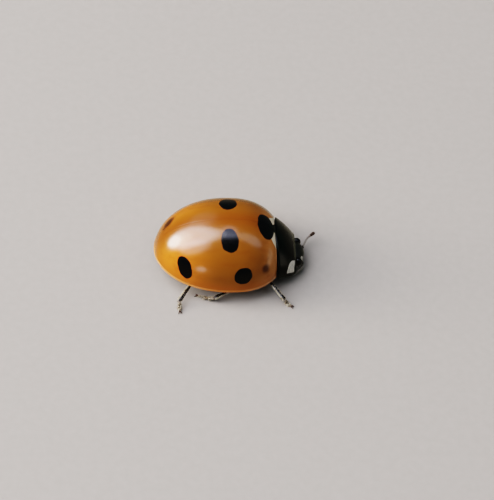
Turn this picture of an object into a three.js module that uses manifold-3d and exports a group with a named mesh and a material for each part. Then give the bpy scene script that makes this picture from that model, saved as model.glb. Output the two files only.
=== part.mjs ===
// A seven-spot ladybird (Coccinella septempunctata), standing, at life size.
// Millimetres, +X towards the head, +Y towards the animal's left, +Z up, feet on z = 0.
// Every plate of the body, every eye and mouthpart and every length of leg is its own closed
// solid. Neighbours keep GAP of air between them, as the joints of a display model do.

import * as THREE from "three";
import { mergeVertices } from "three/addons/utils/BufferGeometryUtils.js";
import Module from "manifold-3d";

const wasm = await Module();
wasm.setup();

// ---------------------------------------------------------------- driving sizes

const RIM_HEIGHT = 0.95; // the lower edge of the wing cases above the ground
const GAP = 0.05; // air between neighbouring pieces
const FAR = 8; // half the size of a cutting block, past everything
const FINEST = 0.004; // slivers that cutting leaves are simplified away below this

// The dome of the wing cases, measured from the middle of its rim. It is longer behind its
// widest place than in front, and a power over 2 makes an end blunter than an ellipse.
const DOME = {
  centre: [0, 0, RIM_HEIGHT],
  front: 2.97,
  back: 3.73,
  halfWidth: 2.65,
  up: 2.63,
  down: 2.63,
  frontPower: 2.45,
  backPower: 2.1,
};
const SHELL = 0.5; // thickness of a wing case
const WING_BASE_X = 2.25; // where the wing cases meet the pronotum on the midline
const WING_BASE_SAG = 0.07; // how fast that seam runs forward away from the midline, per mm
const SCUTELLUM_LENGTH = 0.36;
const SCUTELLUM_HALF_WIDTH = 0.24;

// The body under the wing cases: the dome's inside above the rim, a shallow belly below it.
const BELLY_DEPTH = 0.25; // below the rim along the midline
const WAIST_X = -0.15; // seam between the thorax and the abdomen
const BELLY_RINGS = [-0.95, -1.5, -2.0, -2.45, -2.85]; // seams between the belly plates
const RING_GROOVE = { depth: 0.07, width: 0.1 };

// The pronotum is an arch that slopes down over the head: its sizes at the seam with the wing
// cases and at its front edge. base is the height of its lower edge, top that of its midline.
const PRONOTUM = {
  back: { x: WING_BASE_X + 0.05, sweep: 0.22, halfWidth: 1.75, base: 0.91, top: 2.65 },
  front: { x: 3.48, sweep: 0.02, halfWidth: 1.25, base: 0.5, top: 1.4 },
};
const PRONOTUM_BULGE = { halfWidth: 0.05, top: 0.4 }; // 0 would taper it in straight lines
const PRONOTUM_HOLLOW = {
  centre: [3.6, 0, 0.56],
  front: 0.6,
  back: 0.6,
  halfWidth: 0.98,
  up: 0.66,
  down: 0.6,
  frontPower: 2,
  backPower: 2.2,
};

const PROSTERNUM = {
  centre: [2.7, 0, 0.72],
  front: 0.5,
  back: 0.4,
  halfWidth: 0.8,
  up: 0.5,
  down: 0.22,
  frontPower: 3,
  backPower: 3,
};

const HEAD = {
  centre: [3.36, 0, 0.74],
  front: 0.66,
  back: 0.6,
  halfWidth: 0.68,
  up: 0.52,
  down: 0.46,
  frontPower: 2.3,
  backPower: 2.0,
};
const HEAD_NOD = 0.35; // the face tips down by this angle, in radians
const EYE_RADIUS = 0.25;
const EYE_CENTRE = [3.62, 0.62, 0.79]; // the left eye; the right one mirrors it

const LEG_RADIUS = { thigh: 0.25, shin: 0.24, foot: 0.22, claw: 0.09 };
const SIDES = 8; // facets round a leg

// The stance: the hip, knee, ankle and toe of each leg. The right legs are in mid stride, with
// the front foot reaching forward and the middle one trailing under the rim.
const stance = (hip, knee, ankle, toe) => ({ hip, knee, ankle, toe });
const LEGS = {
  right_front: stance([2.4, -0.62, 0.5], [2.15, -1.75, 0.58], [2.88, -2.68, 0.34], [3.2, -2.86, 0.03]),
  right_middle: stance([1.42, -0.86, 0.42], [0.5, -2.05, 0.52], [-0.72, -2.62, 0.36], [-1.52, -2.3, 0.03]),
  right_hind: stance([0.1, -1.0, 0.42], [-1.72, -1.62, 0.5], [-2.5, -2.82, 0.34], [-2.47, -3.22, 0.03]),
  left_front: stance([2.4, 0.62, 0.5], [2.05, 1.55, 0.58], [2.35, 2.18, 0.36], [2.55, 2.5, 0.03]),
  left_middle: stance([1.42, 0.86, 0.42], [0.9, 2.1, 0.52], [0.45, 2.95, 0.36], [0.2, 3.35, 0.03]),
  left_hind: stance([0.1, 1.0, 0.42], [-1.25, 1.72, 0.5], [-2.3, 2.1, 0.36], [-2.68, 2.3, 0.03]),
};

const ANTENNA_RADIUS = { scape: 0.2, stalk: 0.2, club: 0.23 };
const ANTENNAE = {
  left: { root: [3.9, 0.36, 0.52], bend: [4.08, 0.64, 0.52], tip: [4.68, 1.33, 0.6] },
  right: { root: [3.88, -0.36, 0.5], bend: [3.93, -0.72, 0.42], tip: [3.22, -1.1, 0.28] },
};

// ---------------------------------------------------------------- finishes

const finish = (color, roughness) => new THREE.MeshStandardMaterial({ color, roughness, metalness: 0 });
const MATERIALS = {
  wingCase: finish(0xb8681c, 0.25),
  blackPlate: finish(0x111311, 0.35),
  belly: finish(0x17140f, 0.5),
  leg: finish(0x191714, 0.4),
  eye: finish(0x0a0a0a, 0.2),
  feeler: finish(0x3a2a22, 0.5),
};

// ---------------------------------------------------------------- solids and meshes

function toSolid(geometry) {
  const bare = new THREE.BufferGeometry().setAttribute("position", geometry.getAttribute("position"));
  bare.setIndex(geometry.index);
  const merged = mergeVertices(bare, 1e-4);
  return new wasm.Manifold(
    new wasm.Mesh({
      numProp: 3,
      vertProperties: new Float32Array(merged.attributes.position.array),
      triVerts: new Uint32Array(merged.index.array),
    }),
  );
}

function toMesh(name, material, solid) {
  const { vertProperties, triVerts } = solid.getMesh();
  const geometry = new THREE.BufferGeometry();
  geometry.setAttribute("position", new THREE.BufferAttribute(vertProperties, 3));
  geometry.setIndex(new THREE.BufferAttribute(triVerts, 1));
  geometry.computeVertexNormals();
  const mesh = new THREE.Mesh(geometry, material);
  mesh.name = name;
  return mesh;
}

// A block between two corners.
function block(low, high) {
  const size = high.map((v, i) => v - low[i]);
  const middle = high.map((v, i) => (v + low[i]) / 2);
  return toSolid(new THREE.BoxGeometry(...size).translate(...middle));
}

// A plan outline raised from one height to another.
function prism(plan, low, high) {
  const raised = new THREE.ExtrudeGeometry(plan, { depth: high - low, bevelEnabled: false });
  return toSolid(raised.translate(0, 0, low));
}

const above = (z) => block([-FAR, -FAR, z], [FAR, FAR, FAR]);

// An egg lying fore and aft: a sphere with its poles at the two ends, where each end has its
// own length and bluntness, and the upper and lower halves have their own heights.
function egg(shape, { grow = 0, sides = 40, rings = 28, nod = 0 } = {}) {
  const geometry = new THREE.SphereGeometry(1, sides, rings).rotateZ(-Math.PI / 2);
  const point = geometry.attributes.position;
  for (let i = 0; i < point.count; i++) {
    const [along, across, high] = [point.getX(i), point.getY(i), point.getZ(i)];
    const [length, power] = along > 0 ? [shape.front, shape.frontPower] : [shape.back, shape.backPower];
    point.setXYZ(
      i,
      Math.sign(along) * (length + grow) * Math.abs(along) ** (2 / power),
      (shape.halfWidth + grow) * across,
      ((high > 0 ? shape.up : shape.down) + grow) * high,
    );
  }
  return toSolid(geometry.rotateY(nod).translate(...shape.centre));
}

// A body lofted fore and aft through rings, each an arch over a level base line. A cylinder
// lies down along X, its levels become the rings, and sweep carries their sides forward.
function arches(rings, { sides = 22, grow = 0 } = {}) {
  const geometry = new THREE.CylinderGeometry(1, 1, 1, sides, rings.length - 1);
  const point = geometry.attributes.position;
  for (let i = 0; i < point.count; i++) {
    const ring = rings[Math.round((0.5 - point.getY(i)) * (rings.length - 1))];
    const [across, high] = [point.getX(i), point.getZ(i)];
    const x = ring.x + ring.sweep * across * across;
    const y = (ring.halfWidth + grow) * across;
    const lift = high > 0 ? (ring.top - ring.base + grow) * high : grow * high;
    point.setXYZ(i, x, y, ring.base + lift);
  }
  return toSolid(geometry);
}

// Everything in front of a seam that runs across the body at x, drawn in plan and extruded.
function inFrontOf(x, sag) {
  const reach = 3;
  const steps = 16;
  const seam = [];
  for (let i = 0; i <= steps; i++) {
    const y = reach * (1 - (2 * i) / steps);
    seam.push(new THREE.Vector2(x + sag * y * y, y));
  }
  const plan = new THREE.Shape([...seam, new THREE.Vector2(FAR, -reach), new THREE.Vector2(FAR, reach)]);
  return prism(plan, -FAR, FAR);
}

// A solid of revolution from one point to another: radii are given at shares of the way along,
// and the ends are rounded off.
function spindle(from, to, radii, { sides = SIDES, grow = 0 } = {}) {
  const [start, end] = [new THREE.Vector3(...from), new THREE.Vector3(...to)];
  const length = start.distanceTo(end);
  const thick = radii.map(([share, radius]) => [share * length, radius + grow]);
  const [first, last] = [radii[0][1] + grow, radii[radii.length - 1][1] + grow];
  const [low, high] = [0.75 * first - grow, length + grow - 0.75 * last];
  const profile = [
    new THREE.Vector2(0, -grow),
    new THREE.Vector2(0.72 * first, 0.22 * first - grow),
    ...thick.map(([y, radius]) => new THREE.Vector2(radius, THREE.MathUtils.clamp(y, low, high))),
    new THREE.Vector2(0.72 * last, length + grow - 0.22 * last),
    new THREE.Vector2(0, length + grow),
  ];
  const along = end.clone().sub(start).normalize();
  const turn = new THREE.Quaternion().setFromUnitVectors(new THREE.Vector3(0, 1, 0), along);
  return toSolid(new THREE.LatheGeometry(profile, sides).applyQuaternion(turn).translate(...from));
}

const mirrored = (point, side) => [point[0], Math.abs(point[1]) * side, point[2]];
const union = (solids) => solids.reduce((whole, next) => whole.add(next));

// Cutting a piece back from its neighbours can leave a crumb beside it; this keeps the piece.
const largest = (solid) => solid.decompose().reduce((a, b) => (b.volume() > a.volume() ? b : a));

// ---------------------------------------------------------------- wing cases and scutellum

// The little triangle between the wing cases, as a prism through the dome.
function scutellumPrism(grow) {
  const base = WING_BASE_X + 1;
  const tip = WING_BASE_X - SCUTELLUM_LENGTH - grow * 1.5;
  const half = ((base - tip) * SCUTELLUM_HALF_WIDTH) / SCUTELLUM_LENGTH;
  const corners = [[tip, 0], [base, -half], [base, half]].map(([x, y]) => new THREE.Vector2(x, y));
  return prism(new THREE.Shape(corners), 0, FAR);
}

// The dome as a shell, open at the rim and at the front, before it is split down the middle.
function wingCaseShell() {
  const outer = egg(DOME, { sides: 48, rings: 26 });
  const inner = egg(DOME, { sides: 24, rings: 16, grow: -SHELL });
  return outer.subtract(inner).intersect(above(RIM_HEIGHT)).subtract(inFrontOf(WING_BASE_X, WING_BASE_SAG));
}

function elytron(side) {
  const [low, high] = side > 0 ? [GAP / 2, FAR] : [-FAR, -GAP / 2];
  const half = block([-FAR, low, 0], [FAR, high, FAR]);
  return wingCaseShell().intersect(half).subtract(scutellumPrism(GAP));
}

const scutellum = () => wingCaseShell().intersect(scutellumPrism(0));

// ---------------------------------------------------------------- body under the wing cases

function trunk(grow = 0) {
  const inside = SHELL + GAP;
  const shape = {
    ...DOME,
    front: DOME.front - inside,
    back: DOME.back - inside,
    halfWidth: DOME.halfWidth - inside,
    up: DOME.up - inside,
    down: BELLY_DEPTH,
  };
  return egg(shape, { grow, sides: 28, rings: 18 });
}

function thorax() {
  return trunk()
    .intersect(block([WAIST_X + GAP / 2, -FAR, 0], [FAR, FAR, FAR]))
    .subtract(inFrontOf(WING_BASE_X - GAP, WING_BASE_SAG));
}

// The belly plates overlap like tiles, so a shallow groove crosses the belly at each seam.
function abdomen() {
  const { depth, width } = RING_GROOVE;
  const reach = DOME.back - SHELL - GAP;
  const grooves = BELLY_RINGS.map((x) => {
    const floor = RIM_HEIGHT - BELLY_DEPTH * Math.sqrt(1 - (x / reach) ** 2);
    return block([x - width / 2, -FAR, 0], [x + width / 2, FAR, floor + depth]);
  });
  return trunk()
    .intersect(block([-FAR, -FAR, 0], [WAIST_X - GAP / 2, FAR, FAR]))
    .subtract(union(grooves));
}

// ---------------------------------------------------------------- pronotum, head and its parts

function pronotumArch(grow = 0) {
  const steps = 6;
  const rings = [];
  for (let i = 0; i <= steps; i++) {
    const share = i / steps;
    const eased = (bulge) => (1 - bulge) * share + bulge * share * share;
    const mix = (key, t) => PRONOTUM.back[key] + (PRONOTUM.front[key] - PRONOTUM.back[key]) * t;
    rings.push({
      x: mix("x", share),
      sweep: mix("sweep", share),
      halfWidth: mix("halfWidth", eased(PRONOTUM_BULGE.halfWidth)),
      base: mix("base", share),
      top: mix("top", eased(PRONOTUM_BULGE.top)),
    });
  }
  return arches(rings, { grow });
}

// It hoods the head, so it is hollowed round it at the front.
function pronotum() {
  const hollow = egg(PRONOTUM_HOLLOW, { sides: 16, rings: 10 });
  return pronotumArch().subtract(hollow).subtract(headEgg(GAP));
}

// The underside of the ring that the pronotum roofs; the front legs hang from it.
function prosternum() {
  return egg(PROSTERNUM, { sides: 16, rings: 10 }).subtract(pronotumArch(GAP)).subtract(headEgg(GAP));
}

const headEgg = (grow = 0) => egg(HEAD, { grow, nod: HEAD_NOD, sides: 18, rings: 12 });

// Whatever sits on the head is cut back to it, so the head itself stays whole.
const offTheHead = (solid) => solid.subtract(headEgg(GAP)).subtract(pronotumArch(GAP));

function eye(side) {
  const ball = new THREE.SphereGeometry(EYE_RADIUS, 12, 9).scale(1, 0.85, 1.1);
  return offTheHead(toSolid(ball.translate(...mirrored(EYE_CENTRE, side))));
}

// The upper lip, a short plate that hangs from the face.
function labrum() {
  const lip = new THREE.CylinderGeometry(0.3, 0.24, 0.3, 10).scale(1, 1, 0.55);
  return offTheHead(toSolid(lip.rotateZ(-Math.PI / 2).rotateY(0.9).translate(3.8, 0, 0.4)));
}

function mandible(side) {
  const hook = [[0.3, 0.11], [0.7, 0.1]];
  return offTheHead(spindle([3.45, 0.22 * side, 0.36], [3.74, 0.17 * side, 0.14], hook, { sides: 6 }));
}

// The feeler beside the mouth, ending in the broad hatchet that marks the family.
function palp(side) {
  const wrist = [3.58, 0.38 * side, 0.27];
  const stalk = spindle([3.35, 0.3 * side, 0.42], wrist, [[0.3, 0.11], [0.9, 0.12]], { sides: 6 });
  const hatchet = new THREE.CylinderGeometry(0.17, 0.1, 0.22, 6).scale(1, 1, 0.7);
  hatchet.rotateZ(-Math.PI / 2 - 0.4).translate(3.65, 0.4 * side, 0.24);
  return offTheHead(stalk.add(toSolid(hatchet)));
}

const head = () => headEgg();

// ---------------------------------------------------------------- antennae

// A thick first joint, a bent stalk of small beads, and a club of three.
function antenna(side) {
  const { root, bend, tip } = side > 0 ? ANTENNAE.left : ANTENNAE.right;
  const { scape, stalk, club } = ANTENNA_RADIUS;
  const knob = spindle(root, bend, [[0.2, scape], [0.8, scape]], { sides: 7 });
  const inside = root.map((v, i) => (v + bend[i]) / 2);
  const beads = [[0.2, stalk], [0.3, stalk - 0.03], [0.45, stalk], [0.55, stalk - 0.03]];
  const clubBeads = [[0.72, club * 0.95], [0.82, club], [0.92, club * 0.95]];
  return offTheHead(knob.add(spindle(inside, tip, [...beads, ...clubBeads], { sides: 7 })));
}

// ---------------------------------------------------------------- legs

function coxa(leg) {
  const [x, y, z] = leg.hip;
  const ball = new THREE.SphereGeometry(1, 8, 6).scale(0.26, 0.36, 0.26).translate(x, y * 0.86, z);
  const neighbours = [trunk(GAP), prosternum().translate([0, 0, -GAP]), femur(leg, GAP)];
  return toSolid(ball).subtract(union(neighbours));
}

function femur({ hip, knee }, grow = 0) {
  const r = LEG_RADIUS.thigh;
  const out = hip.map((v, i) => v + (knee[i] - v) * 0.08);
  return spindle(out, knee, [[0.15, r * 0.78], [0.55, r], [0.92, r * 0.85]], { grow });
}

function tibia(leg, grow = 0) {
  const r = LEG_RADIUS.shin;
  const bone = spindle(leg.knee, leg.ankle, [[0.08, r * 0.86], [0.9, r]], { grow });
  return grow ? bone : bone.subtract(femur(leg, GAP));
}

// The padded joints of the foot and its two claws, all trimmed flat where they stand.
function tarsus(leg) {
  const { ankle, toe } = leg;
  const at = (share) => ankle.map((v, i) => v + (toe[i] - v) * share);
  const r = LEG_RADIUS.foot;
  const pads = spindle(ankle, toe, [[0.2, r * 0.85], [0.55, r], [0.85, r * 0.85]], { sides: 7 });
  const heading = Math.atan2(toe[1] - ankle[1], toe[0] - ankle[0]);
  const claws = [-1, 1].map((side) => {
    const turn = heading + side * 0.45;
    const tip = [toe[0] + 0.24 * Math.cos(turn), toe[1] + 0.24 * Math.sin(turn), 0.07];
    return spindle(at(0.9), tip, [[0.5, LEG_RADIUS.claw]], { sides: 4 });
  });
  return union([pads, ...claws]).intersect(above(0)).subtract(tibia(leg, GAP));
}

// ---------------------------------------------------------------- assembly

const ladybird = new THREE.Group();
const add = (name, material, solid) => {
  const clean = largest(solid).simplify(FINEST);
  ladybird.add(toMesh(name, material, clean));
};

for (const [name, side] of [["left", 1], ["right", -1]]) {
  add(`elytron_${name}`, MATERIALS.wingCase, elytron(side));
  add(`eye_${name}`, MATERIALS.eye, eye(side));
  add(`antenna_${name}`, MATERIALS.feeler, antenna(side));
  add(`mandible_${name}`, MATERIALS.blackPlate, mandible(side));
  add(`palp_${name}`, MATERIALS.feeler, palp(side));
}
add("scutellum", MATERIALS.blackPlate, scutellum());
add("pronotum", MATERIALS.blackPlate, pronotum());
add("prosternum", MATERIALS.belly, prosternum());
add("thorax", MATERIALS.belly, thorax());
add("abdomen", MATERIALS.belly, abdomen());
add("head", MATERIALS.blackPlate, head());
add("labrum", MATERIALS.blackPlate, labrum());

for (const [name, leg] of Object.entries(LEGS)) {
  add(`coxa_${name}`, MATERIALS.leg, coxa(leg));
  add(`femur_${name}`, MATERIALS.leg, femur(leg));
  add(`tibia_${name}`, MATERIALS.leg, tibia(leg));
  add(`tarsus_${name}`, MATERIALS.leg, tarsus(leg));
}

// The origin is on the ground, below the middle of the animal's box.
const box = new THREE.Box3().setFromObject(ladybird);
const middle = box.getCenter(new THREE.Vector3());
ladybird.position.set(-middle.x, -middle.y, -box.min.z);

export default ladybird;
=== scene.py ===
# %% [markdown]
# # A seven-spot ladybird, modelled and finished in Blender
# A packed construction of a ladybird (Coccinella septempunctata) gives every piece its place. Here
# each one gets its true surface, colours and hairs, modelled in millimetres, written in metres.

# %% Load the construction
import math
import random

import bmesh
import bpy
import numpy as np
from mathutils import Matrix, Vector


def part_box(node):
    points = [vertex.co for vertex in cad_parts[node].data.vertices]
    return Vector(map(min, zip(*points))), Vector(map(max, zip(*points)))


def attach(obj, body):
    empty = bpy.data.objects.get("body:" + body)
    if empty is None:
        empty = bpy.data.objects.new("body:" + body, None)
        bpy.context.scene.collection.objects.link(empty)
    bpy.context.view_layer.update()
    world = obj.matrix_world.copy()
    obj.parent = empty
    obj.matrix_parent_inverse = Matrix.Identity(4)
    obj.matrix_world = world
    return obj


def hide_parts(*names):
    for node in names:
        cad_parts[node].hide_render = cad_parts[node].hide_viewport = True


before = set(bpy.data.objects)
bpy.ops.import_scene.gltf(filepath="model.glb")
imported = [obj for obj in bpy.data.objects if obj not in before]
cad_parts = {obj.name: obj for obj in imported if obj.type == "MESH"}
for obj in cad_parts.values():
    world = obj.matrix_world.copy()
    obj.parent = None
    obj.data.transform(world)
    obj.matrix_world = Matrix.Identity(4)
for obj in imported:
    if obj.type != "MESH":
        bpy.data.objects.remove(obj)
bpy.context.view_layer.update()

print("construction nodes:", len(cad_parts))

# %% [markdown]
# ## Where the beetle stands
# Places are measured from the middle of the dome of the wing cases, on the level of its rim: x
# runs to the head, y to the beetle's left, and z is the height above the ground.

# %% The dome's middle
MM = 0.001
DOME = {
    "front": 2.97, "back": 3.73, "half_width": 2.65, "up": 2.63, "down": 2.63,
    "front_power": 2.45, "back_power": 2.1,
}
left_low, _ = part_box("elytron_left")
_, right_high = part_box("elytron_right")
RIM_HEIGHT = left_low.z / MM
SHIFT = Vector((left_low.x / MM + DOME["back"], (left_low.y + right_high.y) / 2 / MM, 0))
TOP = Vector((0, 0, RIM_HEIGHT))
UP = Vector((0, 0, 1))
SIDES = {"left": 1, "right": -1}
print("rim height", round(RIM_HEIGHT, 3), "mm, middle at", [round(v, 4) for v in SHIFT])

# %% [markdown]
# ## The camera
# A long lens looks down on the beetle's right side. The view's three axes are given as
# directions, so that the picture stays square to them whatever the aim is.

# %% Set up the camera
VIEW_RIGHT = Vector((0.99377, -0.05344, 0.09783)).normalized()
VIEW_BACK = Vector((-0.11075, -0.57332, 0.81181)).normalized()
VIEW_UP = VIEW_BACK.cross(VIEW_RIGHT).normalized()
CAMERA_DISTANCE = 96.36
AIM_RIGHT = 1.021
AIM_UP = -0.039


def hang(data):
    """Puts data into the scene as an object of the same name."""
    made = bpy.data.objects.new(data.name, data)
    bpy.context.scene.collection.objects.link(made)
    return made


lens = bpy.data.cameras.new("camera")
lens.lens = 135.4
lens.sensor_width = 36
lens.clip_start = 0.01
lens.clip_end = 5
camera = hang(lens)
aim = SHIFT + TOP + VIEW_RIGHT * AIM_RIGHT + VIEW_UP * AIM_UP
turn = Matrix((VIEW_RIGHT, VIEW_UP, VIEW_BACK)).transposed()
camera.matrix_world = Matrix.Translation((aim + VIEW_BACK * CAMERA_DISTANCE) * MM) @ turn.to_4x4()
bpy.context.scene.camera = camera
print("camera at", [round(v, 4) for v in camera.location])

# %% [markdown]
# ## Helpers for finishes
# Colours are written as sRGB hex values, and shaders want linear light, so one function turns
# them. Another adds a shader node with its settings and inputs. Two more mix, and step softly; an
# output knows its own tree, so they need not be given one.

# %% Colours and nodes
def linear(hex_colour):
    channels = [int(hex_colour[i:i + 2], 16) / 255 for i in (1, 3, 5)]
    curve = [c / 12.92 if c <= 0.04045 else ((c + 0.055) / 1.055) ** 2.4 for c in channels]
    return (*curve, 1.0)


def add_node(tree, kind, inputs=None, **settings):
    made = tree.nodes.new("ShaderNode" + kind)
    for name, value in settings.items():
        setattr(made, name, value)
    for name, value in (inputs or {}).items():
        if isinstance(value, bpy.types.NodeSocket):
            tree.links.new(value, made.inputs[name])
        else:
            made.inputs[name].default_value = value
    return made


def blend(share, first, second):
    """Goes from the first colour to the second; each is a hex value or a node's output."""
    first, second = (linear(c) if isinstance(c, str) else c for c in (first, second))
    return add_node(share.id_data, "Mix", {0: share, 6: first, 7: second}, data_type="RGBA").outputs[2]


def ease(value, start, end, most=1.0):
    """0 before start and most after end, with a soft step between; start may be above end."""
    step = {"Value": value, "From Min": start, "From Max": end, "To Max": most}
    return add_node(value.id_data, "MapRange", step, interpolation_type="SMOOTHSTEP").outputs[0]


print("orange in linear light:", [round(c, 3) for c in linear("#C8781E")[:3]])

# %% [markdown]
# ## A base for every cuticle
# Cuticle is hard layered chitin, of refractive index about 1.55, under a thin film of wax, which
# is the shader's coat. A Mapping node turns Object coordinates into millimetres from the dome's
# middle, so that every grain is given by its real size.

# %% Start and end of a cuticle material
CHITIN_IOR = 1.55


def start_finish(name):
    material = bpy.data.materials.new(name)
    material.use_nodes = True
    tree = material.node_tree
    tree.nodes.clear()
    where = add_node(tree, "TexCoord").outputs["Object"]
    moved = {"Vector": where, "Location": -SHIFT, "Scale": Vector((1, 1, 1)) / MM}
    return material, tree, add_node(tree, "Mapping", moved).outputs[0]


def grain(place, size, detail=2.0):
    """Cloudy variation from 0 to 1 whose patches are about size millimetres across."""
    settings = {"Vector": place, "Scale": 1 / size, "Detail": detail}
    return add_node(place.id_data, "TexNoise", settings).outputs[0]


def pitted(place, spacing, walls, most=1.0, randomness=1.0):
    """Shallow pits, spacing millimetres apart, whose walls rise between two shares of it."""
    cells = {"Vector": place, "Scale": 1 / spacing, "Randomness": randomness}
    return ease(add_node(place.id_data, "TexVoronoi", cells).outputs["Distance"], *walls, most)


def finish_cuticle(tree, colour, rough, relief, depth, wax, wax_roughness=0.12):
    """rough is (clouds, how much they add, the least), and depth is the relief's in millimetres."""
    roughness = add_node(tree, "Math", dict(enumerate(rough)), operation="MULTIPLY_ADD").outputs[0]
    bump = add_node(tree, "Bump", {"Strength": 1.0, "Distance": depth * MM, "Height": relief})
    shader = add_node(tree, "BsdfPrincipled", {
        "Base Color": colour, "Roughness": roughness, "Normal": bump.outputs[0],
        "IOR": CHITIN_IOR, "Coat Weight": wax, "Coat Roughness": wax_roughness,
    })
    add_node(tree, "OutputMaterial", {"Surface": shader.outputs[0]})


print("chitin refractive index:", CHITIN_IOR)

# %% [markdown]
# ## Shapes used again and again
# Most plates are pieces of an egg: a ball whose two ends have their own lengths and bluntness.
# Limbs are tubes: a circle is extruded from station to station, and each new ring is moved by the
# difference of two placings.

# %% The egg
LYING = Matrix.Rotation(math.pi / 2, 4, "Y")


def add_ball(bm, around, along):
    """A ball of radius 1 with its poles at the head and the tail."""
    made = bmesh.ops.create_uvsphere(bm, u_segments=around, v_segments=along, radius=1, matrix=LYING)
    return made["verts"]


def egg_point(shape, unit):
    along, across, high = unit
    end = "front" if along > 0 else "back"
    length = shape[end] * abs(along) ** (2 / shape[end + "_power"])
    height = shape["up"] if high > 0 else shape["down"]
    return Vector((math.copysign(length, along), shape["half_width"] * across, height * high))


def egg_room(shape, x, y):
    """1 at the middle of an egg's plan and 0 on its outline."""
    end = "front" if x > 0 else "back"
    return 1 - (abs(x) / shape[end]) ** shape[end + "_power"] - (y / shape["half_width"]) ** 2


def dome_height(x, y):
    """How high the dome stands above its rim at a place in plan."""
    return DOME["up"] * math.sqrt(max(egg_room(DOME, x, y), 0))


def bell(value, middle, width, power=2):
    """1 where the value is at the middle, and falling to 0 on either side of it."""
    return math.exp(-((value - middle) / width) ** power)


print("dome height over the middle:", dome_height(0, 0), "mm")

# %% Tubes through rings
def between(edges, verts):
    return [edge for edge in edges if edge.verts[0] in verts and edge.verts[1] in verts]


def grow_edges(bm, edges):
    """Extrudes a row or a ring of edges, and gives the new vertices and edges."""
    grown = bmesh.ops.extrude_edge_only(bm, edges=edges)["geom"]
    verts = [item for item in grown if isinstance(item, bmesh.types.BMVert)]
    return verts, between([item for item in grown if isinstance(item, bmesh.types.BMEdge)], verts)


def ring_place(centre, along, wide, thick, up):
    side = up.cross(along)
    if side.length < 0.05 * along.length:
        side = Vector((1, 0, 0)).cross(along)
    side.normalize()
    lift = along.normalized().cross(side)
    columns = Matrix((side * wide, lift * thick, along.normalized())).transposed()
    return Matrix.Translation(centre) @ columns.to_4x4()


def add_tube(bm, stations, sides=14, up=UP, layer=None, value=0.0):
    """Joins rings at stations of (centre, half width, half thickness) into a closed tube."""
    centres = [station[0] for station in stations]
    last = len(stations) - 1
    places = []
    for i, (centre, wide, thick) in enumerate(stations):
        along = centres[min(i + 1, last)] - centres[max(i - 1, 0)]
        places.append(ring_place(centre, along, wide, thick, up))
    made = bmesh.ops.create_circle(bm, cap_ends=True, segments=sides, radius=1, matrix=places[0])
    verts = made["verts"]
    edges = between(bm.edges, verts)
    everything = list(verts)
    for before, after in zip(places, places[1:]):
        verts, edges = grow_edges(bm, edges)
        bmesh.ops.transform(bm, matrix=after @ before.inverted(), verts=verts)
        everything += verts
    bmesh.ops.contextual_create(bm, geom=edges)
    if layer:
        for vert in everything:
            vert[layer] = value


def swelling(keys, share):
    """The radius at a share of the way, eased between keys of (share, radius)."""
    for (start, low), (end, high) in zip(keys, keys[1:]):
        if share <= end:
            t = (share - start) / (end - start)
            return low + (high - low) * t * t * (3 - 2 * t)
    return keys[-1][1]


def joint_stations(start, end, keys, flat=1.0, bow=Vector(), rings=12, blunt=1.0):
    """Rings of one length of a limb, closer together near its rounded ends."""
    length = (end - start).length
    stations = []
    for i in range(rings + 1):
        share = (1 - math.cos(math.pi * i / rings)) / 2
        radius = swelling(keys, share)
        run = min(min(share, 1 - share) * length / (radius * blunt), 1)
        radius *= max(math.sqrt(1 - (1 - run) ** 2), 0.04)
        stations.append((start.lerp(end, share) + bow * math.sin(math.pi * share), radius, radius * flat))
    return stations


def add_limb(bm, start, end, keys, sides=14, up=UP, layer=None, value=0.0, **form):
    """One closed length of a limb; form is the flatness, bow, rings and bluntness of its stations."""
    add_tube(bm, joint_stations(start, end, keys, **form), sides, up, layer, value)


print("rings of a limb:", len(joint_stations(Vector(), Vector((1, 0, 0)), [(0, 0.1), (1, 0.1)])))

# %% Turning a mesh into a piece of the beetle
# This lies between the lengths of the plates' shortest edges, so that every run welds the same ones.
WELD = 9e-6
scene_pieces = {}


def finish_piece(bm, name, material, stands_for=()):
    bmesh.ops.remove_doubles(bm, verts=bm.verts[:], dist=WELD)
    bmesh.ops.recalc_face_normals(bm, faces=bm.faces[:])
    bmesh.ops.translate(bm, verts=bm.verts[:], vec=SHIFT)
    bmesh.ops.scale(bm, verts=bm.verts[:], vec=(MM, MM, MM))
    mesh = bpy.data.meshes.new(name)
    bm.to_mesh(mesh)
    bm.free()
    ride_along(mesh, material, stands_for)


def ride_along(mesh, material, stands_for=()):
    mesh.shade_smooth()
    mesh.materials.append(material)
    piece = hang(mesh)
    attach(piece, "root")
    if stands_for:
        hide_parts(*stands_for)
    scene_pieces[mesh.name] = len(mesh.polygons)
    print(mesh.name, "has", len(mesh.polygons), "faces")


# %% [markdown]
# ## The wing cases' finish
# The orange is browner along the seam. Painted light makes it lighter low at the rear and along the
# low band, and the pale free edge is partly the thinning plate and partly a painted highlight.
# The spots are melanin in the same glossy plate, so they change only the colour.
# Each is an ellipse lying in the surface: a Mapping node of the TEXTURE type moves the coordinates
# into its frame, and where their length is under 1 the spot is black. A marking on both cases is
# drawn once, on coordinates folded over the seam.

# %% Places of the markings
# (x, y, half length along the body, half width over the dome, turn in degrees), in millimetres.
PAIRED_SPOTS = {"side": (0.63, 2.40, 0.45, 0.47, 0), "rear": (-2.33, 1.86, 0.375, 0.62, 22)}
SINGLE_SPOTS = {
    "shoulder": (1.80, -0.11, 0.52, 0.72, 8),
    "middle_right": (-0.11, -1.14, 0.445, 0.61, 8),
    "middle_left": (-0.11, 1.19, 0.445, 0.57, -8),
}
DARK_PATCHES = {"shoulder": (1.78, -1.95, 0.23, 0.21, 0), "rear": (-3.08, 0.62, 0.4, 0.22, 40)}
SPOT_DEPTH = 1.4


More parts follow.
